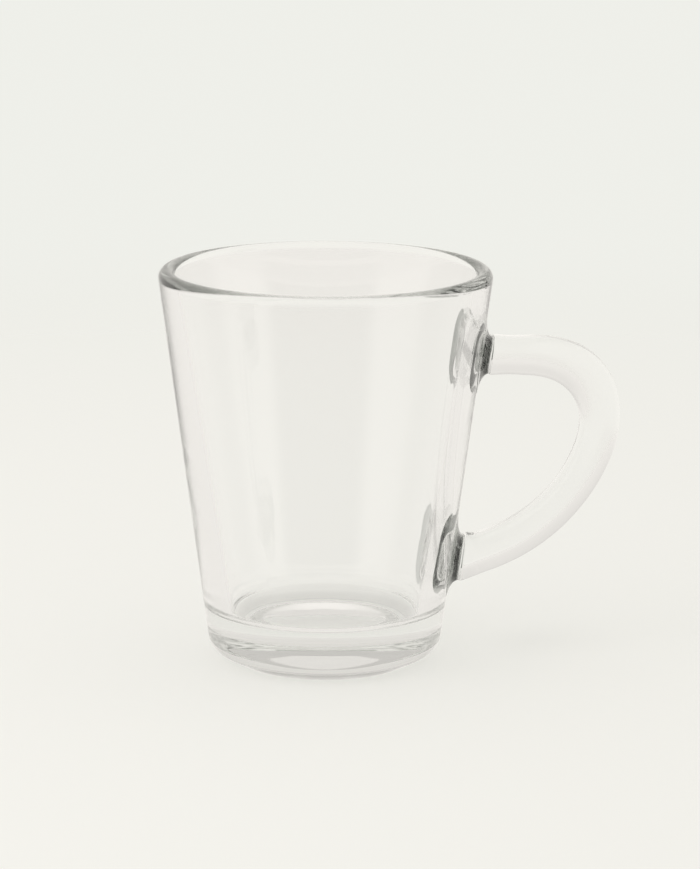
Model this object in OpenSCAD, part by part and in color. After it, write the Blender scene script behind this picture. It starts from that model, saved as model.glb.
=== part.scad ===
// Cortado glass: a clear conical cup of pressed glass with a thick base, and a D-shaped handle
// of solid glass that is fused to the wall through two flared necks.
// The origin is the centre of the foot on the table, +Z is up and the handle points to +X.

/* [Cup] */
// Outer diameter of the rim
rim_d = 75; // [69:0.5:81]
// Height from the table to the top of the rim
cup_h = 90; // [86:0.5:98]
// Diameter that the outer cone would have at the table
cone_d = 51.6; // [49:0.2:55]
// Thickness of the wall at its round lip
lip_t = 3.9; // [3.4:0.1:4.4]
// Thickness of the wall where it meets the floor
low_wall_t = 5.8; // [5:0.1:6.6]

/* [Base] */
// Height of the inner floor's edge above the table
floor_z = 12; // [10:0.1:14]
// Radius of the inner corner between the floor and the wall
floor_corner_r = 2.5; // [1.6:0.1:5]
// Depth by which the floor sinks towards its middle
floor_dish = 1.2; // [0.4:0.1:1.8]
// Radius of the flat middle of the floor
floor_flat_r = 3.5; // [3:0.5:7]
// Diameter of the ring that touches the table
foot_d = 40.4; // [39:0.2:44]
// Angle at which the underside climbs outside the foot ring
foot_rise = 28; // [20:1:32]
// Radius of the outer corner between the underside and the wall
foot_corner_r = 4.7; // [4:0.1:6]
// Width of the flat ring that touches the table
foot_ring_w = 2.5; // [1.4:0.1:3.2]
// Depth of the hollow under the base, at its edge
punt_h = 3; // [1.6:0.1:4]
// Width of the slope at the edge of the hollow
punt_slope_w = 3.2; // [2.4:0.1:4]
// Extra depth of the hollow at its middle
punt_dome_h = 1.5; // [0.4:0.1:2.2]
// Radius of the flat middle of the hollow
punt_flat_r = 4.5; // [3:0.5:7]

/* [Handle] */
// Distance from the axis of the cup to the outer face of the handle
handle_reach = 66.8; // [63:0.2:71]
// Distance from the top of the rim down to the outermost point of the handle
handle_out_drop = 35.2; // [32:0.2:39]
// Thickness of the handle, front to back
handle_t = 9.4; // [8.4:0.1:10.4]
// Radius of the long edges of the handle
handle_edge_r = 3.2; // [2.4:0.1:3.6]
// Height of the upper arm
arm_w = 8.3; // [7.8:0.1:9]
// Width of the handle in its upper corner
corner_w = 10.1; // [9.4:0.1:10.8]
// Width of the handle at its outermost point
side_w = 8.9; // [8.2:0.1:9.6]
// Width of the handle along its lower sweep
sweep_w = 8.2; // [7.8:0.1:9]
// Width of the handle near the lower joint
tail_w = 8.8; // [8:0.1:9.6]
// Length of the straight part of the upper arm
arm_l = 9; // [6:0.5:11]
// Angle at which the upper arm falls, outwards
arm_fall = 1.6; // [0:0.2:4]
// Angle at which the lower arm climbs, outwards
tail_climb = 12; // [8:0.5:16]

/* [Joints] */
// Distance from the top of the rim down to the middle of the upper joint on the wall
upper_drop = 19.9; // [17:0.1:23]
// Height of the middle of the lower joint on the wall
lower_z = 23.1; // [21:0.2:26]
// Length of each neck between the wall and the handle
neck_l = 2.2; // [1.6:0.1:3]
// Height of the upper neck where it meets the wall
upper_neck_h = 17.4; // [15:0.2:19]
// Height of the lower neck where it meets the wall
lower_neck_h = 19; // [17:0.2:21]
// Distance by which the lower neck reaches up along the wall from its middle
lower_neck_lift = 1.1; // [0.2:0.1:1.6]
// Breadth of each neck where it meets the wall
neck_b = 18; // [15:0.5:20]
// Extra height of the upper end of the handle, where it meets its neck
upper_flare = 0.6; // [0.2:0.1:1.2]
// Extra height of the lower end of the handle, where it meets its neck
lower_flare = 1.4; // [0.6:0.1:1.8]
// Length of the stretch in which the ends grow to that height
flare_l = 4.5; // [3:0.5:6]
// Depth of the fine groove where the handle meets its necks
crease_h = 0.35; // [0.2:0.05:0.5]
// Length of the rounded edge at each end of the handle
crease_l = 1; // [0.6:0.1:1.5]

/* [Hidden] */

// Overrun of every cut past the surface that it opens
over = cup_h / 45;
// Fineness of the round surfaces
round_fn = 128;

// Derived sizes of the cup
rim_r = rim_d / 2;
cone_r = cone_d / 2;
foot_r = foot_d / 2;
lip_r = lip_t / 2;
lip = [rim_r - lip_r, cup_h - lip_r];

// Lean of the line from a point that just touches the round lip: on its outer side at 1, its inner at -1
function lean_from(p, side) = atan2(lip.x - p.x, lip.y - p.y) + asin(side * lip_r / norm(lip - p));

// The outer wall leans outwards from the foot of the cone to the lip
lean = lean_from([cone_r, 0], 1);
wall_out = [cos(lean), -sin(lean)];
wall_up = [sin(lean), cos(lean)];

// Outer radius of the wall at a height
function wall_r(z) = cone_r + z * tan(lean);

// The inner wall leans out more, as the wall grows thinner from the floor up to the lip
low = [wall_r(floor_z) - low_wall_t / cos(lean), floor_z];
bore_lean = lean_from(low, -1);
bore_top = lip - [cos(bore_lean), -sin(bore_lean)] * lip_r;
floor_flat = [floor_flat_r, floor_z - floor_dish];

// Centre of the outer corner, which touches the wall and the rising underside
foot_out = [sin(foot_rise), -cos(foot_rise)];
foot_corner_z = (foot_corner_r + (cone_r - foot_corner_r / cos(lean) - foot_r) * sin(foot_rise))
    / (cos(foot_rise) - tan(lean) * sin(foot_rise));
foot_corner = [wall_r(foot_corner_z) - foot_corner_r / cos(lean), foot_corner_z];

// Centre of the inner corner, which touches the inner wall and the floor, and its two points of touch
bore_way = (bore_top - low) / norm(bore_top - low);
floor_way = (floor_flat - low) / norm(floor_flat - low);
floor_half = acos(bore_way * floor_way) / 2;
floor_corner = low + (bore_way + floor_way) / norm(bore_way + floor_way) * floor_corner_r / sin(floor_half);
floor_touch = floor_corner_r / tan(floor_half);

// Shape of the handle's centre line, as shares of the spans between its fixed points
arm_pull_share = 0.97;
corner_pull_share = 0.17;
side_pull_share = 0.28;
tail_pull_share = 0.74;
// Where the straight arm and the outermost point lie, as shares of the way along the handle
arm_way_share = 0.08;
out_way_share = 0.5;
// Rings along the handle: along the straight arm as shares of its length, and on each curve
arm_ring_shares = [0, 0.03, 0.07, 0.11, 0.2, 0.33, 0.5, 0.75];
corner_rings = 20;
sweep_rings = 24;
// Rings in the last step of the sweep, as shares of that step
tail_ring_shares = [0.9, 0.8, 0.72, 0.64, 0.5, 0.33, 0.16, 0];
// Points on each rounded edge of the handle
edge_points = 6;
// Rings between a neck's two ends, as shares of its length: the last leaves a thin edge at the wall
neck_ring_shares = [0.15, 0.3, 0.45, 0.58, 0.7, 0.8, 0.87, 0.92];

// Ends of the handle: each lies a neck's length off the wall, square to it
function on_wall(z) = [wall_r(z), z];
upper_end = on_wall(cup_h - upper_drop) + wall_out * neck_l;
lower_end = on_wall(lower_z) + wall_out * neck_l;
arm_end = upper_end + [cos(arm_fall), -sin(arm_fall)] * arm_l;
out_point = [handle_reach - side_w / 2, cup_h - handle_out_drop];

// Control points of the two curves that follow the straight arm
corner_curve = [
    arm_end,
    arm_end + [cos(arm_fall), -sin(arm_fall)] * arm_pull_share * (out_point.x - arm_end.x),
    out_point + [0, corner_pull_share * (arm_end.y - out_point.y)],
    out_point
];
sweep_curve = [
    out_point,
    out_point - [0, side_pull_share * (out_point.y - lower_end.y)],
    lower_end + [cos(tail_climb), sin(tail_climb)] * tail_pull_share * (out_point.x - lower_end.x),
    lower_end
];

function curve_point(c, t) = pow(1 - t, 3) * c[0] + 3 * t * pow(1 - t, 2) * c[1]
    + 3 * t * t * (1 - t) * c[2] + pow(t, 3) * c[3];
function curve_way(c, t) = pow(1 - t, 2) * (c[1] - c[0]) + 2 * t * (1 - t) * (c[2] - c[1])
    + t * t * (c[3] - c[2]);
function smooth(u) = let (v = min(1, max(0, u))) v * v * (3 - 2 * v);
function blend(a, b, u) = a + (b - a) * u;

// Stations of the centre line: point, heading, and share of the whole way
function curve_station(c, t, share) = let (d = curve_way(c, t)) [curve_point(c, t), atan2(d.y, d.x), share];
arm_stations = [for (s = arm_ring_shares) [blend(upper_end, arm_end, s), -arm_fall, arm_way_share * s]];
corner_stations = [for (i = [0 : corner_rings]) let (t = i / corner_rings)
    curve_station(corner_curve, t, blend(arm_way_share, out_way_share, t))];
sweep_steps = concat([for (i = [1 : sweep_rings - 1]) i / sweep_rings],
    [for (s = tail_ring_shares) 1 - s / sweep_rings]);
sweep_stations = [for (t = sweep_steps) curve_station(sweep_curve, t, blend(out_way_share, 1, t))];
stations = concat(arm_stations, corner_stations, sweep_stations);

// Width of the handle at a share of its way
knots = [arm_w, corner_w, side_w, sweep_w, tail_w];
spans = len(knots) - 1;
function way_width(s) = let (k = min(floor(s * spans), spans - 1))
    blend(knots[k], knots[k + 1], smooth(s * spans - k));

// Section with rounded edges, as points across the plane of the handle and along Y
function section(w, t, r) = [
    for (c = [[1, 1, 0], [-1, 1, 90], [-1, -1, 180], [1, -1, 270]], i = [0 : edge_points - 1])
        let (a = c[2] + 90 * i / (edge_points - 1))
        [c[0] * (w / 2 - r) + r * cos(a), c[1] * (t / 2 - r) + r * sin(a)]
];

// Depth of the rounded end at a distance from the seam
function end_inset(d) = let (q = max(0, 1 - d / crease_l)) crease_h * (1 - sqrt(1 - q * q));

// A ring of the handle turns from the plane of the wall at each end to square across the way
function handle_ring(st) = let (
        p = st[0],
        way = st[1],
        from_upper = norm(p - upper_end),
        from_lower = norm(p - lower_end),
        upper_share = 1 - smooth(from_upper / flare_l),
        lower_share = 1 - smooth(from_lower / flare_l),
        square = way * (1 - upper_share - lower_share) - lean * upper_share - (180 + lean) * lower_share,
        inset = end_inset(min(from_upper, from_lower)),
        w = way_width(st[2]) / cos(square - way) + upper_flare * upper_share + lower_flare * lower_share,
        pts = section(w - 2 * inset, handle_t - 2 * inset, handle_edge_r - inset)
    )
    [for (q = pts) [p.x - q.x * sin(square), q.y, p.y + q.x * cos(square)]];

// Skin over a list of rings with the same number of points, closed at both ends
module loft(rings) {
    n = len(rings[0]);
    polyhedron(
        points = [for (r = rings, p = r) p],
        faces = concat(
            [[for (i = [0 : n - 1]) i]],
            [for (k = [0 : len(rings) - 2], i = [0 : n - 1])
                [k * n + i, (k + 1) * n + i, (k + 1) * n + (i + 1) % n]],
            [for (k = [0 : len(rings) - 2], i = [0 : n - 1])
                [k * n + i, (k + 1) * n + (i + 1) % n, k * n + (i + 1) % n]],
            [[for (i = [n - 1 : -1 : 0]) (len(rings) - 1) * n + i]]
        )
    );
}

// Half section of the glass before its inside is taken out
module solid_section() {
    polygon([
        [0, 0],
        [foot_r, 0],
        foot_corner + foot_out * foot_corner_r,
        foot_corner + wall_out * foot_corner_r,
        lip + wall_out * lip_r,
        lip,
        bore_top,
        [0, bore_top.y]
    ]);
    translate(foot_corner) circle(r = foot_corner_r, $fn = round_fn);
}

// Half section of the inside, with its rounded corner
module inside_section() {
    polygon([
        [0, floor_flat.y],
        floor_flat,
        low + floor_way * floor_touch,
        low + bore_way * floor_touch,
        bore_top + bore_way * over,
        [0, bore_top.y + over]
    ]);
    translate(floor_corner) circle(r = floor_corner_r, $fn = round_fn);
}

// Half of the cup's section
module cup_section() {
    difference() {
        solid_section();
        inside_section();
        polygon([
            [0, -over],
            [foot_r - foot_ring_w, -over],
            [foot_r - foot_ring_w, 0],
            [foot_r - foot_ring_w - punt_slope_w, punt_h],
            [punt_flat_r, punt_h + punt_dome_h],
            [0, punt_h + punt_dome_h]
        ]);
    }
    translate(lip) circle(r = lip_r, $fn = round_fn);
}

module bowl() {
    color([0.82, 0.87, 0.86])
        rotate_extrude($fn = round_fn) cup_section();
}

module handle() {
    color([0.9, 0.93, 0.92])
        loft([for (st = stations) handle_ring(st)]);
}

// A neck: a loft from the handle's end ring to an oval on the wall, cut off by the wall's own cone
module neck(end_ring, end_point, half_h, lift) {
    n = len(end_ring);
    mid = end_point - wall_out * neck_l + wall_up * lift;
    wall_points = [for (i = [0 : n - 1]) let (
            q = end_ring[i],
            u = (q.x - end_point.x) * wall_up.x + (q.z - end_point.y) * wall_up.y,
            a = atan2(q.y / neck_b, u / (2 * half_h)),
            z = mid.y + half_h * cos(a) * wall_up.y,
            y = neck_b / 2 * sin(a)
        ) [sqrt(pow(wall_r(z), 2) - y * y), y, z]];
    last = neck_ring_shares[len(neck_ring_shares) - 1];
    difference() {
        loft(concat(
            [end_ring],
            [for (f = neck_ring_shares) [for (i = [0 : n - 1]) let (
                    spread = (1 - sqrt(1 - f * f)) / (1 - sqrt(1 - last * last)),
                    a = end_ring[i],
                    b = wall_points[i]
                ) [a.x + (b.x - a.x) * f, a.y + (b.y - a.y) * spread, a.z + (b.z - a.z) * spread]]],
            [[for (b = wall_points) b - [over, 0, 0]]]
        ));
        cylinder(r1 = cone_r, r2 = wall_r(cup_h), h = cup_h, $fn = round_fn);
    }
}

module upper_joint() {
    color([0.55, 0.62, 0.63])
        neck(handle_ring(stations[0]), upper_end, upper_neck_h / 2, 0);
}

module lower_joint() {
    color([0.55, 0.62, 0.63])
        neck(handle_ring(stations[len(stations) - 1]), lower_end, lower_neck_h / 2, lower_neck_lift);
}

bowl();
handle();
upper_joint();
lower_joint();
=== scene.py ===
"""Visual model of a clear glass cup with a D-shaped handle, built over its packed CAD frame."""

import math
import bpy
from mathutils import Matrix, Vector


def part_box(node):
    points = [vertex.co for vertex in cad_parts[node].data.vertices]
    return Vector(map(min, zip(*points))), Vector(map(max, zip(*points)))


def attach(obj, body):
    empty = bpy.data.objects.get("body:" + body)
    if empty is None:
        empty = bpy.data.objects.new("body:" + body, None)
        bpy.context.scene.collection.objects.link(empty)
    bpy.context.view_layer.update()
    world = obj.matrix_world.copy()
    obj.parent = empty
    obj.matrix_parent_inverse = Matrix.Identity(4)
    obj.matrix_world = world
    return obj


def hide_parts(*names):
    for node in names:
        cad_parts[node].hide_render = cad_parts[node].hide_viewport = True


bl_info = {
    "name": "Clear Glass Cup",
    "version": (1, 0, 0),
    "blender": (4, 5, 0),
    "location": "View3D > Sidebar > Glass Cup",
    "description": "Builds a conical cup of pressed glass with a handle fused to its wall at two necks",
    "category": "Add Mesh",
}

import bmesh
import bpy
from bpy.props import FloatProperty, FloatVectorProperty, IntProperty, PointerProperty
from mathutils import Matrix, Vector

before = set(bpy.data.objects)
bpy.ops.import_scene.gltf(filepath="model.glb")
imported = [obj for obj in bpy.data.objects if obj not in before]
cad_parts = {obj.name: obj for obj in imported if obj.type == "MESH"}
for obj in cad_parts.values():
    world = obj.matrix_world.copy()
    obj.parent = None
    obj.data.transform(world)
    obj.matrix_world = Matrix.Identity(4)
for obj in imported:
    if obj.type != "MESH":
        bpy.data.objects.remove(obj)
CUP_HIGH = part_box("bowl")[1]
HANDLE_LOW, HANDLE_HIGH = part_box("handle")
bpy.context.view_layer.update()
# How far the handle's outer face stays inside its solid
INSET = 0.00001
# Length of the first and the last stretch of a long straight in the cup's section
END_L = 0.0002
# Longest step of an arc in the cup's section, and its largest turn
ARC_STEP_L = 0.0005
ARC_STEP_TURN = math.radians(5)
# Distance within which points of the spun shell are the same point
SAME_POINT = 0.000001
# Share of the handle's way that lies before the end of its straight arm
ARM_SHARE = 0.08
# Rings along that arm, and the share of its length at which they start
ARM_RINGS = 8
ARM_FIRST = 0.12
# Rings that round the edge of the groove at each of the handle's ends
SEAM_RINGS = 6
# Share of its length at which a neck's round flare ends, before it would turn along the wall
FLARE_END_SHARE = 0.985
# How far from its middle to each corner a face of the wall is tested against a neck
CORNER_SHARE = 0.9
# How far off its plane, and off the wall's cone, the middle of a fused face may lie
PLANE_SLACK = 0.00001
WALL_SLACK = 0.00003
# How closely a fused face has to face along its plane's direction, as a cosine
FACING_MATCH = 0.999

# Height of the photograph in pixels, which the camera's focal length is worked out from
PHOTO_HIGH = 869
# Longest side of the camera's film, in millimetres
FILM_MM = 36
# Bounces that light may take through the thick glass
BOUNCES = 64
# Heights above the horizon, in degrees, over which the light seen through the glass changes
SKY_BAND = (-8, 12)
GROUND_BAND = (-70, -20)
# Heights over which the light that is mirrored within the glass changes
DARK_TOP_BAND = (12, 24)
TABLE_BAND = (-12, -4)
CEILING_BAND = (35, 60)
# Heights over which the light that its outside mirrors changes
OUTER_LOW_BAND = (-34, -18)
OUTER_HIGH_BAND = (40, 60)
# Turns away from the backdrop, in degrees, over which that light falls
OUTER_SIDE_BAND = (70, 115)
# Half width, in degrees, of the dark room's soft edge
DARK_EDGE = 8
# Softness of the soft boxes' edges, as a share of their half width
BOX_EDGE = 0.3
# Faces round the edge of the floor, and the share of its radius at which it has faded
FLOOR_SIDES = 96
FADE_END = 0.97
# Where the painted contact shadow on the paper starts, in foot radii, and where it ends, in radii of
# the wall's cone
PAINTED_SHADE_START = 0.94
PAINTED_SHADE_END = (0.92, 1.1)


def length(name, description, default):
    return FloatProperty(
        name=name, description=description, default=default, unit="LENGTH", precision=5
    )


def angle(name, description, degrees):
    return FloatProperty(
        name=name, description=description, default=math.radians(degrees), subtype="ANGLE"
    )


def count(name, description, default, least):
    return IntProperty(name=name, description=description, default=default, min=least)


def share(name, description, default):
    return FloatProperty(
        name=name, description=description, default=default, min=0, max=1, subtype="FACTOR"
    )


def level(name, description, default):
    return FloatProperty(name=name, description=description, default=default, min=0)


def colour(name, description, default):
    return FloatVectorProperty(
        name=name, description=description, default=default, size=3, min=0, max=1, subtype="COLOR"
    )


class BowlSizes(bpy.types.PropertyGroup):
    """Sizes of the cup's wall, lip and base"""

    rim_d: length("Rim", "Outer diameter of the rim", 2 * CUP_HIGH.y)
    cup_h: length("Height", "Height from the table to the top of the rim", CUP_HIGH.z)
    cone_d: length("Cone", "Diameter that the outer cone would have at the table", 0.0516)
    lip_t: length("Lip", "Thickness of the wall at its round lip", 0.0039)
    low_t: length("Low wall", "Thickness of the wall where it meets the floor", 0.0058)
    floor_z: length("Floor", "Height of the inner floor's edge above the table", 0.012)
    floor_corner_r: length("Floor corner", "Radius between the floor and the inner wall", 0.0025)
    floor_dish: length("Floor dish", "Depth by which the floor sinks towards its middle", 0.0012)
    floor_flat_r: length("Floor flat", "Radius of the flat middle of the floor", 0.0035)
    foot_d: length("Foot", "Diameter of the ring that touches the table", 0.0404)
    foot_rise: angle("Foot rise", "Angle at which the underside climbs outside the foot ring", 28)
    foot_corner_r: length("Foot corner", "Radius between the underside and the outer wall", 0.0047)
    foot_ring_w: length("Foot ring", "Width of the flat ring that touches the table", 0.0025)
    foot_edge_r: length("Foot edge", "Radius of the outer edge of the foot ring", 0.0023)
    punt_h: length("Punt", "Depth of the hollow under the base, at its edge", 0.003)
    punt_slope_w: length("Punt slope", "Width of the slope at the edge of the hollow", 0.0032)
    punt_edge_r: length("Punt edge", "Radius between that slope and the hollow's top", 0.001)
    punt_dome_h: length("Punt dome", "Extra depth of the hollow at its centre", 0.0015)
    punt_flat_r: length("Punt flat", "Radius of the flat middle of the hollow", 0.0045)
    dish_r: length("Dish", "Radius that blends the flat middles into their slopes", 0.025)
    around: count("Around", "Faces around the cup", 256, 32)


class HandleSizes(bpy.types.PropertyGroup):
    """Sizes of the handle"""

    reach: length("Reach", "Distance from the axis to the handle's outer face", HANDLE_HIGH.x - INSET)
    out_z: length("Outer point", "Height of the handle's outermost point", 0.0548)
    thick: length("Thickness", "Thickness of the handle, front to back", HANDLE_HIGH.y - HANDLE_LOW.y)
    edge_r: length("Edge", "Radius of the handle's long edges", 0.0032)
    arm_w: length("Arm", "Height of the upper arm", 0.0083)
    corner_w: length("Corner", "Width of the handle in its upper corner", 0.0101)
    side_w: length("Side", "Width of the handle at its outermost point", 0.0089)
    sweep_w: length("Sweep", "Width of the handle along its lower sweep", 0.0082)
    tail_w: length("Tail", "Width of the handle near the lower joint", 0.0088)
    arm_l: length("Arm length", "Length of the straight part of the upper arm", 0.009)
    arm_fall: angle("Arm fall", "Angle at which the upper arm falls, outwards", 1.6)
    tail_climb: angle("Tail climb", "Angle at which the lower arm climbs, outwards", 12)
    arm_pull: share("Arm pull", "Reach of the arm's direction into the corner", 0.97)
    corner_pull: share("Corner pull", "Reach of the side's direction into the corner", 0.17)
    side_pull: share("Side pull", "Reach of the side's direction into the sweep", 0.28)
    tail_pull: share("Tail pull", "Reach of the tail's direction into the sweep", 0.74)
    rings: count("Rings", "Rings on each of the two curves", 44, 8)
    edge_faces: count("Edge faces", "Faces across each long edge", 8, 2)


class JointSizes(bpy.types.PropertyGroup):
    """Sizes of the two necks between the wall and the handle"""

    upper_z: length("Upper", "Height of the middle of the upper joint on the wall", 0.0701)
    lower_z: length("Lower", "Height of the middle of the lower joint on the wall", 0.0231)
    neck_l: length("Neck", "Length of each neck between the wall and the handle", 0.0022)
    upper_h: length("Upper height", "Height of the upper neck where it meets the wall", 0.0174)
    lower_h: length("Lower height", "Height of the lower neck where it meets the wall", 0.019)
    lower_lift: length("Lower lift", "Reach of the lower neck up the wall from its middle", 0.0011)
    breadth: length("Breadth", "Breadth of each neck where it meets the wall", 0.0165)
    upper_flare: length("Upper flare", "Extra height of the handle's upper end at its neck", 0.0006)
    lower_flare: length("Lower flare", "Extra height of the handle's lower end at its neck", 0.0014)
    flare_l: length("Flare length", "Length in which the handle's ends grow to that height", 0.0045)
    seam_h: length("Seam depth", "Depth of the fine groove where handle and neck meet", 0.0003)
    seam_l: length("Seam edge", "Length of the rounded edge on each side of that groove", 0.0007)
    hug_share: share("Hug", "Share of the wall's round that each neck follows", 0.92)
    gap: length("Fused gap", "Unseen gap that keeps the fused faces of two pieces apart", 0.000004)
    rings: count("Rings", "Rings along each neck", 14, 4)


class GlassLook(bpy.types.PropertyGroup):
    """Finish of the glass"""

    tint: colour("Tint", "Colour of the glass's surface", (1.0, 1.0, 1.0))
    depth_tint: colour("Depth tint", "Colour that light takes on in thick glass", (0.745, 0.76, 0.745))
    depth_density: level("Depth", "Absorption for each metre of glass", 8)
    shadow_tint: colour("Shadow tint", "Light that passes into the glass's shadow", (0.92, 0.925, 0.92))
    ior: FloatProperty(name="IOR", description="Index of refraction of the glass", default=1.51, min=1)
    ripple_size: length("Ripple size", "Size of the soft ripples of pressed glass", 0.03)
    ripple_h: length("Ripple height", "Height of the soft ripples of pressed glass", 0.00004)


class StageLook(bpy.types.PropertyGroup):
    """Floor, surroundings, lamps and camera"""

    backdrop: colour("Backdrop", "Colour of the background", (0.862, 0.866, 0.819))
    studio: colour("Studio", "Colour of the studio, as seen through the glass", (0.885, 0.86, 0.817))
    floor_paint: colour("Floor", "Colour of the floor's paper", (0.91, 0.88, 0.84))
    floor_r: length("Floor radius", "Radius of the floor", 0.6)
    floor_fade: share("Floor fade", "Share of the floor's radius at which it starts to fade", 0.35)
    shadow_share: share("Shadow", "How much of the shadow the bright paper shows", 0.36)
    fill: level("Fill", "Strength of the even light on the floor", 0.87)
    fill_tint: colour("Fill tint", "Colour of the even light on the floor", (1, 0.99, 0.97))
    lamp: FloatProperty(name="Lamp", description="Power of the soft lamp", default=2.0, unit="POWER")
    lamp_d: length("Lamp size", "Diameter of the soft lamp", 0.45)
    lamp_place: FloatVectorProperty(
        name="Lamp place", description="Place of the lamp", default=(-0.55, -0.25, 0.6), unit="LENGTH"
    )
    sky: level("Sky", "Brightness of the backdrop above the horizon, as seen through the glass", 0.925)
    ground: level("Ground", "Brightness of the paper below the cup, as seen through the glass", 0.86)
    room: level("Room", "Brightness of the room, as mirrored within the glass", 0.72)
    table: level("Table", "Brightness of the table, as mirrored within the glass", 0.98)
    ceiling: level("Ceiling", "Brightness of the ceiling, as mirrored within the glass", 1.2)
    paper: level("Paper", "Brightness of the paper, as seen through the glass", 1.05)
    # Painted contact shadow: how dark the paper round the foot is painted, as seen through the glass
    painted_contact_shade: level("Contact", "Brightness of the paper at the foot, as seen through the glass", 0.9)
    back: level("Back", "Brightness of the dark room behind the camera, near the horizon", 0.35)
    back_turn: angle("Back turn", "Turn away from the backdrop at which the dark room starts", 138)
    box_level: level("Boxes", "Brightness of the soft box at each side", 1.14)
    box_turn: angle("Box turn", "Turn of each soft box away from the backdrop", 112)
    box_half: angle("Box half", "Half width of each soft box", 24)
    outer_far: level("Outer far", "Brightness that the outside mirrors towards the backdrop", 1.05)
    outer_near: level("Outer near", "Brightness that the outside mirrors elsewhere", 0.72)
    outer_low: level("Outer low", "Brightness that the outside mirrors from below", 0.55)
    distance: length("Distance", "Distance from the camera to the cup's axis", 0.9)
    elevation: angle("Elevation", "Height of the camera above the horizon", 12.471)
    turn: angle("Turn", "Turn of the camera about the cup's axis", 4.3)
    aim_z: length("Aim", "Height on the cup's axis that the camera circles", 0.051791)
    yaw: angle("Yaw", "Turn of the view to the side of the axis", -0.365)
    roll: angle("Roll", "Roll of the camera", 0.259)
    focal_share: FloatProperty(
        name="Focal share", description="Focal pixels for each mm of distance", default=4.427
    )


def deselect():
    """Leaves edit mode with nothing selected."""
    if bpy.context.object and bpy.context.object.mode != "OBJECT":
        bpy.ops.object.mode_set(mode="OBJECT")
    bpy.ops.object.select_all(action="DESELECT")


def pick(obj):
    """Selects one object and makes it the active one."""
    deselect()
    obj.select_set(True)
    bpy.context.view_layer.objects.active = obj


def in_plane(p):
    """A point of the cup's XZ plane in space."""
    return Vector((p.x, 0, p.y))


def steps_for(turn, radius):
    """Steps of an arc, so that none is too long or turns too far."""
    return max(3, math.ceil(abs(turn) / ARC_STEP_TURN), math.ceil(abs(turn) * radius / ARC_STEP_L))


class Pen:
    """Draws a line in the XZ plane: its last point is extruded for a straight, and spun for an arc."""

    def __init__(self, name, start):
        deselect()
        bpy.ops.mesh.primitive_plane_add(size=0.001)
        self.obj = bpy.context.object
        self.obj.name = name
        self.at = start
        bpy.ops.object.mode_set(mode="EDIT")
        bpy.ops.mesh.merge(type="CENTER")
        bpy.ops.transform.translate(value=in_plane(start))

    def line(self, to):
        """Draws a straight. A long one gets a point near each end, so that it's shaded straight."""
        end = (to - self.at).normalized() * END_L
        stops = [self.at + end, to - end, to] if (to - self.at).length > 3 * END_L else [to]
        for stop in stops:
            step = in_plane(stop - self.at)
            bpy.ops.mesh.extrude_vertices_move(TRANSFORM_OT_translate={"value": step})
            self.at = stop

    def arc(self, centre, turn):
        steps = steps_for(turn, (self.at - centre).length)
        bpy.ops.mesh.spin(steps=steps, angle=turn, center=in_plane(centre), axis=(0, 1, 0))
        self.at = centre + Matrix.Rotation(turn, 2) @ (self.at - centre)

    def rounded(self, corner, after, radius):
        """Draws up to a corner and round it, towards the point after it."""
        back = (self.at - corner).normalized()
        onward = (after - corner).normalized()
        half = back.angle(onward) / 2
        side = (back + onward).normalized()
        centre = corner + side * radius / math.sin(half)
        turn = math.copysign(math.pi - 2 * half, -back.x * onward.y + back.y * onward.x)
        self.line(corner + back * radius / math.tan(half))
        self.arc(centre, turn)

    def spin_round(self, around):
        """Spins the finished line round the cup's axis to a closed shell."""
        bpy.ops.mesh.select_all(action="SELECT")
        bpy.ops.mesh.spin(steps=around, angle=2 * math.pi, center=(0, 0, 0), axis=(0, 0, 1))
        bpy.ops.mesh.select_all(action="SELECT")
        bpy.ops.mesh.remove_doubles(threshold=SAME_POINT)
        bpy.ops.mesh.normals_make_consistent(inside=False)
        bpy.ops.object.mode_set(mode="OBJECT")
        return self.obj


class Cup:
    """Lines and points of the cup's half section, as points (distance from the axis, height)."""

    def __init__(self, s):
        self.s = s
        self.lip_r = s.lip_t / 2
        self.lip = Vector((s.rim_d / 2 - self.lip_r, s.cup_h - self.lip_r))
        self.lean = self.lean_from(Vector((s.cone_d / 2, 0)), self.lip_r)
        self.out = Vector((math.cos(self.lean), -math.sin(self.lean)))
        self.low = self.wall(s.floor_z) - Vector((s.low_t / math.cos(self.lean), 0))
        self.bore_lean = self.lean_from(self.low, -self.lip_r)

    def lean_from(self, point, side):
        """Lean of the line from a point that just touches the round lip on one side."""
        span = self.lip - point
        return math.atan2(span.x, span.y) + math.asin(side / span.length)

    def wall(self, z):
        return Vector((self.s.cone_d / 2 + z * math.tan(self.lean), z))

    def foot_corner(self):
        """Where the underside's line and the outer wall's line cross."""
        rise, run = math.sin(self.s.foot_rise), math.cos(self.s.foot_rise)
        reach = (self.s.cone_d - self.s.foot_d) / 2 / (run - rise * math.tan(self.lean))
        return Vector((self.s.foot_d / 2 + reach * run, reach * rise))


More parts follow.
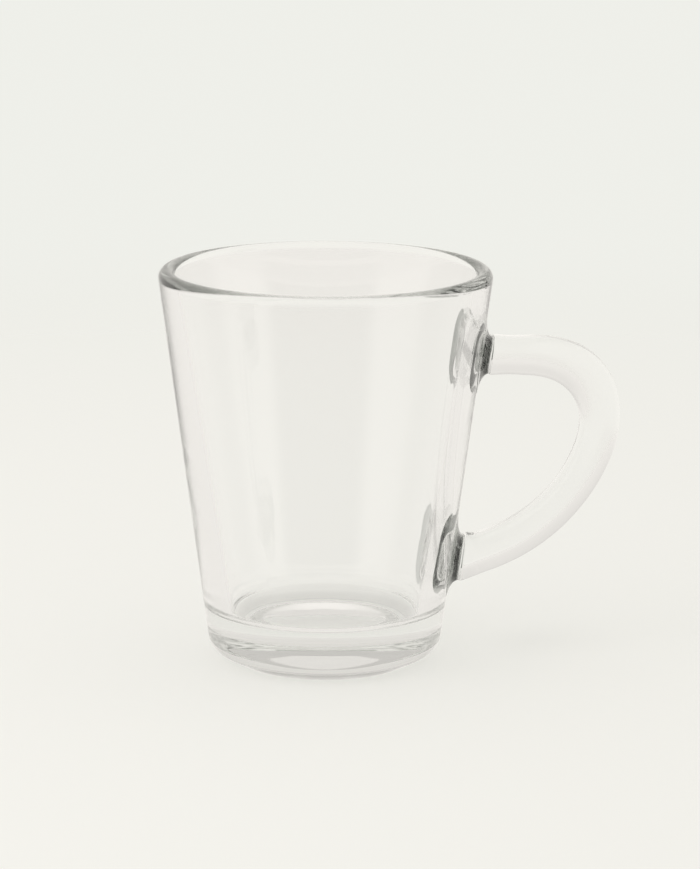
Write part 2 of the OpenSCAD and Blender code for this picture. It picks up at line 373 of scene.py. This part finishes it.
def make_cup_shell(s):
    """The whole cup as one closed shell: foot, outer wall, lip, inner wall and floor."""
    cup = Cup(s)
    foot_r = s.foot_d / 2
    ring_in = Vector((foot_r - s.foot_ring_w, 0))
    ring_out = Vector((foot_r, 0))
    punt_edge = Vector((ring_in.x - s.punt_slope_w, s.punt_h))
    punt_flat = Vector((s.punt_flat_r, s.punt_h + s.punt_dome_h))
    floor_flat = Vector((s.floor_flat_r, s.floor_z - s.floor_dish))
    pen = Pen("cup_shell", Vector((0, punt_flat.y)))
    pen.rounded(punt_flat, punt_edge, s.dish_r)
    pen.rounded(punt_edge, ring_in, s.punt_edge_r)
    pen.rounded(ring_in, ring_out, s.foot_edge_r / 2)
    pen.rounded(ring_out, cup.foot_corner(), s.foot_edge_r)
    pen.rounded(cup.foot_corner(), cup.wall(s.cup_h), s.foot_corner_r)
    pen.line(cup.lip + cup.out * cup.lip_r)
    pen.arc(cup.lip, math.pi + cup.lean - cup.bore_lean)
    pen.rounded(cup.low, floor_flat, s.floor_corner_r)
    pen.rounded(floor_flat, Vector((0, floor_flat.y)), s.dish_r)
    pen.line(Vector((0, floor_flat.y)))
    return pen.spin_round(s.around)


def shade(obj, sharp=40):
    """Smooth shading, with hard edges past an angle in degrees."""
    pick(obj)
    bpy.ops.object.shade_smooth_by_angle(angle=math.radians(sharp))
    deselect()


def bezier(points, t):
    a, b, c, d = points
    return a * (1 - t) ** 3 + b * 3 * t * (1 - t) ** 2 + c * 3 * t**2 * (1 - t) + d * t**3


def bezier_way(points, t):
    a, b, c, d = points
    way = (b - a) * (1 - t) ** 2 + (c - b) * 2 * t * (1 - t) + (d - c) * t**2
    return math.atan2(way.y, way.x)


def ease(u):
    u = min(1, max(0, u))
    return u * u * (3 - 2 * u)


class Station:
    """A place on the handle: its point, the direction that its ring faces, its width and thickness."""

    def __init__(self, at, facing, width, thick):
        self.at = at
        self.facing = facing
        self.width = width
        self.thick = thick

    def along(self):
        return Vector((math.cos(self.facing), math.sin(self.facing)))

    def across(self):
        return Vector((-math.sin(self.facing), math.cos(self.facing)))

    def frame(self):
        """Matrix whose first axis runs across the ring in the handle's plane, and third along it."""
        u, n = in_plane(self.across()), in_plane(self.along())
        return Matrix((u, n.cross(u), n)).transposed()


class HandleLine:
    """The handle's centre line, from the upper neck round to the lower one."""

    def __init__(self, s, joints, cup):
        self.s = s
        self.joints = joints
        self.cup = cup
        self.start = cup.wall(joints.upper_z) + cup.out * joints.neck_l
        self.end = cup.wall(joints.lower_z) + cup.out * joints.neck_l
        fall = Vector((math.cos(s.arm_fall), -math.sin(s.arm_fall)))
        climb = Vector((math.cos(s.tail_climb), math.sin(s.tail_climb)))
        self.arm_end = self.start + fall * s.arm_l
        out_point = Vector((s.reach - s.side_w / 2, s.out_z))
        self.corner = (
            self.arm_end,
            self.arm_end + fall * s.arm_pull * (out_point.x - self.arm_end.x),
            out_point + Vector((0, s.corner_pull * (self.arm_end.y - out_point.y))),
            out_point,
        )
        self.sweep = (
            out_point,
            out_point - Vector((0, s.side_pull * (out_point.y - self.end.y))),
            self.end + climb * s.tail_pull * (out_point.x - self.end.x),
            self.end,
        )

    def width(self, way_share):
        knots = (self.s.arm_w, self.s.corner_w, self.s.side_w, self.s.sweep_w, self.s.tail_w)
        spans = len(knots) - 1
        k = min(int(way_share * spans), spans - 1)
        return knots[k] + (knots[k + 1] - knots[k]) * ease(way_share * spans - k)

    def station(self, at, way, way_share):
        """The ring at a point: near each end it turns into the plane of the wall and grows."""
        j = self.joints
        lean = self.cup.lean
        from_start, from_end = (at - self.start).length, (at - self.end).length
        upper = 1 - ease(from_start / j.flare_l)
        lower = 1 - ease(from_end / j.flare_l)
        facing = way * (1 - upper - lower) - lean * upper - (math.pi + lean) * lower
        rest = max(0, 1 - min(from_start, from_end) / j.seam_l)
        inset = j.seam_h * (1 - math.sqrt(1 - rest * rest))
        width = self.width(way_share) / math.cos(facing - way)
        width += j.upper_flare * upper + j.lower_flare * lower
        return Station(at, facing, width - 2 * inset, self.s.thick - 2 * inset)

    def stations(self):
        """All rings of the handle. Its outermost point is the middle of the way."""
        rings, seam_l = self.s.rings, self.joints.seam_l
        seam = [seam_l * k / SEAM_RINGS for k in range(SEAM_RINGS + 1)]
        arm_l = (self.arm_end - self.start).length
        steps = [distance / arm_l for distance in seam]
        steps += [ARM_FIRST + (1 - ARM_FIRST) * k / ARM_RINGS for k in range(ARM_RINGS)]
        found = []
        for t in steps:
            at = self.start.lerp(self.arm_end, t)
            found.append(self.station(at, -self.s.arm_fall, ARM_SHARE * t))
        for t in [k / rings for k in range(rings + 1)]:
            way_share = ARM_SHARE + (0.5 - ARM_SHARE) * t
            found.append(self.station(bezier(self.corner, t), bezier_way(self.corner, t), way_share))
        # A Bezier curve runs at three times the span of its last two points there
        end_speed = 3 * (self.sweep[3] - self.sweep[2]).length
        steps = [k / rings for k in range(1, rings)]
        steps += [1 - distance / end_speed for distance in reversed(seam)]
        for t in steps:
            found.append(self.station(bezier(self.sweep, t), bezier_way(self.sweep, t), 0.5 + 0.5 * t))
        return found


def add_section(name, station, edge_r, edge_faces):
    """A flat face with rounded corners at a station, in edit mode and selected."""
    deselect()
    bpy.ops.mesh.primitive_plane_add(size=1)
    obj = bpy.context.object
    obj.name = name
    bpy.ops.object.mode_set(mode="EDIT")
    bpy.ops.transform.resize(value=(station.width, station.thick, 1))
    bpy.ops.mesh.bevel(offset=edge_r, segments=edge_faces, affect="VERTICES")
    bpy.ops.transform.rotate(
        value=station.facing - math.pi / 2, orient_axis="Y", center_override=(0, 0, 0)
    )
    bpy.ops.transform.translate(value=in_plane(station.at))
    return obj


def extrude_to(before, after):
    """Extrudes the selected end face from one station to the next."""
    bpy.ops.mesh.extrude_region_move(TRANSFORM_OT_translate={"value": in_plane(after.at - before.at)})
    centre = in_plane(after.at)
    turn = after.facing - before.facing
    bpy.ops.transform.rotate(value=turn, orient_axis="Y", center_override=centre)
    bpy.ops.transform.resize(
        value=(after.width / before.width, after.thick / before.thick, 1),
        orient_type="GLOBAL",
        orient_matrix=after.frame(),
        orient_matrix_type="GLOBAL",
        center_override=centre,
    )


def make_bar(name, stations, edge_r, edge_faces):
    """A bar of glass through a list of stations."""
    obj = add_section(name, stations[0], edge_r, edge_faces)
    for before, after in zip(stations, stations[1:]):
        extrude_to(before, after)
    bpy.ops.mesh.select_all(action="SELECT")
    bpy.ops.mesh.normals_make_consistent(inside=False)
    bpy.ops.object.mode_set(mode="OBJECT")
    return obj


def handle_line():
    """The handle's centre line at the scene's sizes."""
    scene = bpy.context.scene
    return HandleLine(scene.glass_handle, scene.glass_joints, Cup(scene.glass_bowl))


def follow_wall(obj, station, inward, wall_r, amount):
    """Moves the sides of the selected end ring inwards, as the round wall falls away from them. Points
    that are equally far out, to a micrometre, move together."""
    rows = {}
    for point in bmesh.from_edit_mesh(obj.data).verts:
        if point.select:
            moved = (point.co - in_plane(station.at)).dot(inward)
            rows.setdefault(round(abs(point.co.y), 6), ([], moved))[0].append(point.index)
    for reach, (indices, moved) in rows.items():
        fall = wall_r - math.sqrt(wall_r**2 - reach**2)
        select_points(obj, indices)
        bpy.ops.transform.translate(value=inward * (fall * amount - moved))
    select_points(obj, [index for indices, _ in rows.values() for index in indices])
    bpy.ops.mesh.select_mode(type="FACE")


def make_neck_solid(name, end, inward, height, breadth, lift, wall_r, joints, handle):
    """A neck before it is cut: it grows from the handle's end face to an oval in the wall. The wall
    lies along the end's direction, or against it where inward is -1."""
    obj = add_section(name, end, handle.edge_r - joints.seam_h, handle.edge_faces)
    before = end
    way = end.along() * inward
    across = end.across() * math.copysign(1, end.across().y)
    full = 1 - math.sqrt(1 - FLARE_END_SHARE**2)
    for k in range(1, joints.rings + 1):
        f = k / joints.rings
        spread = (1 - math.sqrt(1 - min(f, FLARE_END_SHARE) ** 2)) / full
        after = Station(
            end.at + way * joints.neck_l * f + across * lift * spread,
            end.facing,
            end.width + (height - end.width) * spread,
            end.thick + (breadth - end.thick) * spread,
        )
        extrude_to(before, after)
        follow_wall(obj, after, in_plane(way), wall_r, joints.hug_share * f)
        before = after
    inside = Station(before.at + way * joints.neck_l, end.facing, before.width, before.thick)
    extrude_to(before, inside)
    bpy.ops.mesh.select_all(action="SELECT")
    bpy.ops.mesh.normals_make_consistent(inside=False)
    bpy.ops.object.mode_set(mode="OBJECT")
    return obj


def make_necks():
    """Both uncut necks, as (node name, object)."""
    line = handle_line()
    j, h = line.joints, line.s
    first, *_, last = line.stations()
    upper_r, lower_r = line.cup.wall(j.upper_z).x, line.cup.wall(j.lower_z).x
    upper = make_neck_solid("upper_neck", first, -1, j.upper_h, j.breadth, 0, upper_r, j, h)
    lower = make_neck_solid("lower_neck", last, 1, j.lower_h, j.breadth, j.lower_lift, lower_r, j, h)
    return [("upper_joint", upper), ("lower_joint", lower)]


def is_inside(solid, point):
    found, near, normal, _ = solid.closest_point_on_mesh(point)
    return found and (near - point).dot(normal) > 0


def face_is_inside(solid, face):
    """True if a face lies in a solid with all its corners, or has them on the solid's outline."""
    middle = face.calc_center_median()
    return all(is_inside(solid, middle.lerp(corner.co, CORNER_SHARE)) for corner in face.verts)


def imprint(shell, neck):
    """Cuts the outline of a neck into the shell, and gives the faces inside it the fused finish."""
    marker = bpy.data.materials.new("outline_marker")
    pick(neck)
    bpy.ops.object.duplicate()
    cutter = bpy.context.object
    cutter.data.materials.clear()
    cutter.data.materials.append(marker)
    pick(shell)
    cutter.select_set(True)
    bpy.ops.object.join()
    marked = shell.data.materials.find(marker.name)
    bpy.ops.object.mode_set(mode="EDIT")
    select_faces(shell, lambda f: f.material_index == marked)
    bpy.ops.mesh.intersect(mode="SELECT_UNSELECT", separate_mode="CUT", solver="EXACT")
    select_faces(shell, lambda f: f.material_index == marked)
    bpy.ops.mesh.delete(type="FACE")
    select_faces(shell, lambda f: face_is_inside(neck, f))
    shell.active_material_index = 1
    bpy.ops.object.material_slot_assign()
    bpy.ops.object.mode_set(mode="OBJECT")
    shell.data.materials.pop(index=marked)
    bpy.data.materials.remove(marker)


def select_points(obj, indices):
    """In edit mode, selects the vertices with these indices, and nothing else."""
    bpy.ops.mesh.select_mode(type="VERT")
    bpy.ops.mesh.select_all(action="DESELECT")
    bm = bmesh.from_edit_mesh(obj.data)
    for point in bm.verts:
        point.select_set(point.index in indices)
    bm.select_flush_mode()
    bmesh.update_edit_mesh(obj.data)


def select_faces(obj, test):
    """In edit mode, selects the faces that pass a test, and nothing else."""
    bpy.ops.mesh.select_mode(type="FACE")
    bpy.ops.mesh.select_all(action="DESELECT")
    bm = bmesh.from_edit_mesh(obj.data)
    for face in bm.faces:
        face.select_set(test(face))
    bm.select_flush_mode()
    bmesh.update_edit_mesh(obj.data)


def new_material(name):
    mat = bpy.data.materials.new(name)
    mat.use_nodes = True
    mat.node_tree.nodes.clear()
    return mat, mat.node_tree


def feed(tree, socket, value):
    """Sets a socket to a number, or links it to another node's output."""
    if isinstance(value, (int, float)):
        socket.default_value = value
    else:
        tree.links.new(value, socket)


def coloured(tree, kind, tint, strength=None):
    """A shader node of a kind with a colour, and a strength if it has one. Returns its output."""
    node = tree.nodes.new(kind)
    node.inputs["Color"].default_value = (*tint, 1)
    if strength is not None:
        feed(tree, node.inputs["Strength"], strength)
    return node.outputs[0]


def mix_shaders(tree, factor, a, b):
    """Shader a where the factor is 0, shader b where it is 1."""
    mix = tree.nodes.new("ShaderNodeMixShader")
    for socket, value in zip(mix.inputs, (factor, a, b)):
        tree.links.new(value, socket)
    return mix.outputs[0]


def add_depth(tree, output, look):
    """The faint grey that light takes on along its way through thick glass."""
    depth = tree.nodes.new("ShaderNodeVolumeAbsorption")
    depth.inputs["Color"].default_value = (*look.depth_tint, 1)
    depth.inputs["Density"].default_value = look.depth_density
    tree.links.new(depth.outputs[0], output.inputs["Volume"])


def pressed_glass(look):
    """Fire-polished clear glass with the soft ripples of pressing. Lamps shine through it."""
    name = "pressed_glass"
    if name in bpy.data.materials:
        return bpy.data.materials[name]
    mat, tree = new_material(name)
    output = tree.nodes.new("ShaderNodeOutputMaterial")
    glass = tree.nodes.new("ShaderNodeBsdfPrincipled")
    glass.inputs["Base Color"].default_value = (*look.tint, 1)
    glass.inputs["Roughness"].default_value = 0
    glass.inputs["IOR"].default_value = look.ior
    glass.inputs["Transmission Weight"].default_value = 1
    place = tree.nodes.new("ShaderNodeTexCoord")
    ripple = tree.nodes.new("ShaderNodeTexNoise")
    ripple.inputs["Scale"].default_value = 1 / look.ripple_size
    ripple.inputs["Detail"].default_value = 1
    bump = tree.nodes.new("ShaderNodeBump")
    bump.inputs["Strength"].default_value = 1
    bump.inputs["Distance"].default_value = look.ripple_h
    tree.links.new(place.outputs["Object"], ripple.inputs["Vector"])
    tree.links.new(ripple.outputs[0], bump.inputs["Height"])
    tree.links.new(bump.outputs[0], glass.inputs["Normal"])
    shadow = coloured(tree, "ShaderNodeBsdfTransparent", look.shadow_tint)
    ray = tree.nodes.new("ShaderNodeLightPath")
    seen = mix_shaders(tree, ray.outputs["Is Shadow Ray"], glass.outputs[0], shadow)
    tree.links.new(seen, output.inputs["Surface"])
    add_depth(tree, output, look)
    return mat


def fused_face(look):
    """The unseen face where two pieces of hot glass have run together."""
    name = "fused_face"
    if name in bpy.data.materials:
        return bpy.data.materials[name]
    mat, tree = new_material(name)
    output = tree.nodes.new("ShaderNodeOutputMaterial")
    fused = tree.nodes.new("ShaderNodeBsdfTransparent")
    tree.links.new(fused.outputs[0], output.inputs["Surface"])
    add_depth(tree, output, look)
    return mat


def give_glass(obj):
    look = bpy.context.scene.glass_look
    obj.data.materials.clear()
    obj.data.materials.append(pressed_glass(look))
    obj.data.materials.append(fused_face(look))


def mark_fused(obj, test):
    """Gives the faces that pass a test the fused finish."""
    for face in obj.data.polygons:
        if test(face):
            face.material_index = 1


def faces_station(face, station):
    """True if a face lies in the plane of a station's ring."""
    normal = in_plane(station.along())
    off = abs((face.center - in_plane(station.at)).dot(normal))
    return abs(face.normal.dot(normal)) > FACING_MATCH and off < PLANE_SLACK


def finish_piece(obj, node):
    """Sets a finished piece on the body of its node, which it stands for."""
    obj.name = node + "_glass"
    obj.data.name = obj.name
    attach(obj, "root")
    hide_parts(node)


class GLASSCUP_OT_bowl(bpy.types.Operator):
    """Makes the cup: foot, wall, lip and inner floor, with the faces that its necks are fused to"""

    bl_idname = "glasscup.bowl"
    bl_label = "Bowl"

    def execute(self, context):
        shell = make_cup_shell(context.scene.glass_bowl)
        give_glass(shell)
        for _, neck in make_necks():
            imprint(shell, neck)
            bpy.data.objects.remove(neck)
        shade(shell)
        finish_piece(shell, "bowl")
        return {"FINISHED"}


class GLASSCUP_OT_handle(bpy.types.Operator):
    """Makes the handle: a bar of solid glass bent to a D"""

    bl_idname = "glasscup.handle"
    bl_label = "Handle"

    def execute(self, context):
        sizes = context.scene.glass_handle
        stations = handle_line().stations()
        bar = make_bar("bar", stations, sizes.edge_r, sizes.edge_faces)
        give_glass(bar)
        mark_fused(bar, lambda f: faces_station(f, stations[0]) or faces_station(f, stations[-1]))
        shade(bar)
        finish_piece(bar, "handle")
        return {"FINISHED"}


class GLASSCUP_OT_joints(bpy.types.Operator):
    """Makes the two flared necks that join the handle to the wall"""

    bl_idname = "glasscup.joints"
    bl_label = "Joints"

    def execute(self, context):
        bowl, gap = context.scene.glass_bowl, context.scene.glass_joints.gap
        line = handle_line()
        cup = line.cup
        first, *_, last = line.stations()
        for (node, neck), end in zip(make_necks(), (first, last)):
            deselect()
            bpy.ops.mesh.primitive_cone_add(
                vertices=bowl.around,
                radius1=cup.wall(0).x + gap,
                radius2=cup.wall(bowl.cup_h).x + gap,
                depth=bowl.cup_h,
                location=(0, 0, bowl.cup_h / 2),
            )
            cone = bpy.context.object
            pick(neck)
            bpy.ops.object.modifier_add(type="BOOLEAN")
            cut = neck.modifiers[-1]
            cut.operation = "DIFFERENCE"
            cut.solver = "EXACT"
            cut.object = cone
            bpy.ops.object.modifier_apply(modifier=cut.name)
            bpy.data.objects.remove(cone)
            give_glass(neck)
            mark_fused(neck, lambda f: faces_station(f, end))
            mark_fused(neck, lambda f: abs(f.center.xy.length - cup.wall(f.center.z).x) < WALL_SLACK)
            shade(neck)
            finish_piece(neck, node)
        return {"FINISHED"}


def math_node(tree, operation, a, b=None):
    """A Math node on two values or sockets. Returns its output."""
    node = tree.nodes.new("ShaderNodeMath")
    node.operation = operation
    for socket, value in zip(node.inputs, (a, b)):
        if value is not None:
            feed(tree, socket, value)
    return node.outputs[0]


def ramp_node(tree, value, start, end, low, high):
    """A soft step: low where a value is before the start, high past the end."""
    ramp = tree.nodes.new("ShaderNodeMapRange")
    ramp.interpolation_type = "SMOOTHSTEP"
    names = ("Value", "From Min", "From Max", "To Min", "To Max")
    for name, number in zip(names, (value, start, end, low, high)):
        feed(tree, ramp.inputs[name], number)
    return ramp.outputs[0]


def band_node(tree, angle_value, band, low, high):
    """A soft step over a band of angles, which is given in degrees."""
    start, end = (math.radians(edge) for edge in band)
    return ramp_node(tree, angle_value, start, end, low, high)


def any_bounce(tree, bounces):
    """1 if a ray has made any bounce of a kind, else 0."""
    return math_node(tree, "GREATER_THAN", bounces, 0.5)


def mix_values(tree, factor, a, b):
    """a where the factor is 0, b where it is 1."""
    mix = tree.nodes.new("ShaderNodeMix")
    for name, number in (("Factor", factor), ("A", a), ("B", b)):
        feed(tree, mix.inputs[name], number)
    return mix.outputs[0]


def box_window(tree, around, turn, half):
    """1 in a soft box at each side of the studio, 0 beside it."""
    off = math_node(tree, "ABSOLUTE", math_node(tree, "SUBTRACT", around, turn))
    return ramp_node(tree, off, half * (1 + BOX_EDGE), half * (1 - BOX_EDGE), 0, 1)


def studio_light(tree, look):
    """Brightness of the studio in each direction: what the clear glass shows behind it, what is
    mirrored within the glass, and what its outside mirrors."""
    place = tree.nodes.new("ShaderNodeTexCoord")
    axes = tree.nodes.new("ShaderNodeSeparateXYZ")
    tree.links.new(place.outputs["Generated"], axes.inputs[0])
    x, y, z = axes.outputs
    around = math_node(tree, "ABSOLUTE", math_node(tree, "ARCTAN2", x, y))
    height = math_node(tree, "ARCSINE", z)
    behind = band_node(tree, height, SKY_BAND, 1, look.sky)
    behind = band_node(tree, height, GROUND_BAND, look.ground, behind)
    side = box_window(tree, around, look.box_turn, look.box_half)
    room = mix_values(tree, side, look.room, look.box_level)
    low = band_node(tree, height, DARK_TOP_BAND, 1, 0)
    edge = math.radians(DARK_EDGE)
    back = ramp_node(tree, around, look.back_turn - edge, look.back_turn + edge, 0, 1)
    room = mix_values(tree, math_node(tree, "MULTIPLY", low, back), room, look.back)
    within = band_node(tree, height, TABLE_BAND, look.table, room)
    within = band_node(tree, height, CEILING_BAND, within, look.ceiling)
    outside = band_node(tree, around, OUTER_SIDE_BAND, look.outer_far, look.outer_near)
    outside = band_node(tree, height, OUTER_LOW_BAND, look.outer_low, outside)
    outside = band_node(tree, height, OUTER_HIGH_BAND, outside, look.outer_near)
    return behind, within, outside


def make_world(look):
    """Even light for the floor, a pale backdrop for what is seen directly, and a studio for what is
    seen through the glass or mirrored in it."""
    world = bpy.data.worlds.new("studio")
    bpy.context.scene.world = world
    world.use_nodes = True
    tree = world.node_tree
    tree.nodes.clear()
    output = tree.nodes.new("ShaderNodeOutputWorld")
    ray = tree.nodes.new("ShaderNodeLightPath")
    behind, within, outside = studio_light(tree, look)
    mirror = mix_values(tree, any_bounce(tree, ray.outputs["Transmission Depth"]), outside, within)
    strength = mix_values(tree, any_bounce(tree, ray.outputs["Glossy Depth"]), behind, mirror)
    studio = coloured(tree, "ShaderNodeBackground", look.studio, strength)
    plain = coloured(tree, "ShaderNodeBackground", look.backdrop)
    seen = mix_shaders(tree, ray.outputs["Is Camera Ray"], studio, plain)
    fill = coloured(tree, "ShaderNodeBackground", look.fill_tint, look.fill)
    lighting = mix_shaders(tree, ray.outputs["Is Diffuse Ray"], seen, fill)
    tree.links.new(lighting, output.inputs["Surface"])


def floor_paper(look, bowl):
    """Bright paper that shows a soft shadow, and, as seen through the glass, a painted contact shadow
    round the foot. It fades into the backdrop away from the cup.
    """
    mat, tree = new_material("floor_paper")
    output = tree.nodes.new("ShaderNodeOutputMaterial")
    clear = tree.nodes.new("ShaderNodeBsdfTransparent")
    place = tree.nodes.new("ShaderNodeTexCoord")
    ray = tree.nodes.new("ShaderNodeLightPath")
    away = tree.nodes.new("ShaderNodeVectorMath")
    away.operation = "LENGTH"
    tree.links.new(place.outputs["Object"], away.inputs[0])
    reach = away.outputs["Value"]
    foot_r, side_r = bowl.foot_d / 2, bowl.cone_d / 2
    # Painted contact shadow: the paper that the glass shows is darkened in a ring round the foot
    near = ramp_node(tree, reach, foot_r * PAINTED_SHADE_START, foot_r, look.paper, look.painted_contact_shade)
    start, end = (side_r * part for part in PAINTED_SHADE_END)
    near = ramp_node(tree, reach, start, end, near, look.paper)
    strength = mix_values(tree, any_bounce(tree, ray.outputs["Transmission Depth"]), 1, near)
    bright = coloured(tree, "ShaderNodeEmission", look.backdrop, strength)
    paper = coloured(tree, "ShaderNodeBsdfDiffuse", look.floor_paint)
    seen = math_node(tree, "SUBTRACT", 1, ray.outputs["Is Diffuse Ray"])
    glow = math_node(tree, "MULTIPLY", seen, 1 - look.shadow_share)
    sheet = mix_shaders(tree, glow, paper, bright)
    faded = ramp_node(tree, reach, look.floor_r * look.floor_fade, look.floor_r * FADE_END, 0, 1)
    unseen = math_node(tree, "MAXIMUM", faded, any_bounce(tree, ray.outputs["Glossy Depth"]))
    tree.links.new(mix_shaders(tree, unseen, sheet, clear.outputs[0]), output.inputs["Surface"])
    return mat


def make_floor(look):
    deselect()
    bpy.ops.mesh.primitive_circle_add(vertices=FLOOR_SIDES, radius=look.floor_r, fill_type="NGON")
    floor = bpy.context.object
    floor.name = "floor"
    floor.data.materials.append(floor_paper(look, bpy.context.scene.glass_bowl))
    return floor


def make_lamp(look):
    deselect()
    bpy.ops.object.light_add(type="AREA", location=look.lamp_place)
    lamp = bpy.context.object
    lamp.name = "soft_lamp"
    lamp.data.shape = "DISK"
    lamp.data.size = look.lamp_d
    lamp.data.energy = look.lamp
    lamp.rotation_euler = (-lamp.location).to_track_quat("-Z", "Y").to_euler()
    lamp.visible_glossy = False
    lamp.visible_transmission = False
    return lamp


def make_camera(look):
    """The camera at the photograph's angle."""
    ground = look.distance * math.cos(look.elevation)
    height = look.aim_z + look.distance * math.sin(look.elevation)
    deselect()
    bpy.ops.object.camera_add(
        location=(-ground * math.sin(look.turn), -ground * math.cos(look.turn), height)
    )
    camera = bpy.context.object
    camera.name = "photo_camera"
    aim = Matrix.Rotation(look.yaw - look.turn, 3, "Z") @ Vector(
        (0, math.cos(look.elevation), -math.sin(look.elevation))
    )
    right = aim.cross(Vector((0, 0, 1))).normalized()
    up = right.cross(aim)
    rolled_right = right * math.cos(look.roll) + up * math.sin(look.roll)
    rolled_up = up * math.cos(look.roll) - right * math.sin(look.roll)
    turned = Matrix((rolled_right, rolled_up, -aim)).transposed()
    camera.rotation_euler = turned.to_euler()
    camera.data.sensor_fit = "AUTO"
    camera.data.sensor_width = FILM_MM
    camera.data.lens = look.focal_share * look.distance * 1000 * FILM_MM / PHOTO_HIGH
    bpy.context.scene.camera = camera
    return camera


class GLASSCUP_OT_stage(bpy.types.Operator):
    """Makes the floor, the surroundings, the lamp and the camera"""

    bl_idname = "glasscup.stage"
    bl_label = "Stage"

    def execute(self, context):
        look = context.scene.glass_stage
        make_world(look)
        make_floor(look)
        make_lamp(look)
        make_camera(look)
        scene = context.scene
        scene.view_settings.view_transform = "Standard"
        scene.cycles.max_bounces = BOUNCES
        scene.cycles.glossy_bounces = BOUNCES
        scene.cycles.transmission_bounces = BOUNCES
        scene.cycles.transparent_max_bounces = BOUNCES
        return {"FINISHED"}


STEPS = (GLASSCUP_OT_bowl, GLASSCUP_OT_handle, GLASSCUP_OT_joints, GLASSCUP_OT_stage)
GROUPS = {
    "glass_bowl": BowlSizes,
    "glass_handle": HandleSizes,
    "glass_joints": JointSizes,
    "glass_look": GlassLook,
    "glass_stage": StageLook,
}


class GLASSCUP_PT_sidebar(bpy.types.Panel):
    """Lists the cup's sizes, looks and steps"""

    bl_idname = "GLASSCUP_PT_sidebar"
    bl_label = "Glass Cup"
    bl_space_type = "VIEW_3D"
    bl_region_type = "UI"
    bl_category = "Glass Cup"

    def draw(self, context):
        for name, group in GROUPS.items():
            box = self.layout.box()
            box.label(text=group.__doc__)
            for prop in group.__annotations__:
                box.prop(getattr(context.scene, name), prop)
        for step in STEPS:
            self.layout.operator(step.bl_idname)


def register():
    for group in GROUPS.values():
        bpy.utils.register_class(group)
    for name, group in GROUPS.items():
        setattr(bpy.types.Scene, name, PointerProperty(type=group))
    for step in STEPS:
        bpy.utils.register_class(step)
    bpy.utils.register_class(GLASSCUP_PT_sidebar)


def unregister():
    bpy.utils.unregister_class(GLASSCUP_PT_sidebar)
    for step in reversed(STEPS):
        bpy.utils.unregister_class(step)
    for name in GROUPS:
        delattr(bpy.types.Scene, name)
    for group in GROUPS.values():
        bpy.utils.unregister_class(group)


def main():
    register()
    bpy.ops.glasscup.bowl()
    bpy.ops.glasscup.handle()
    bpy.ops.glasscup.joints()
    bpy.ops.glasscup.stage()


if __name__ == "__main__":
    main()
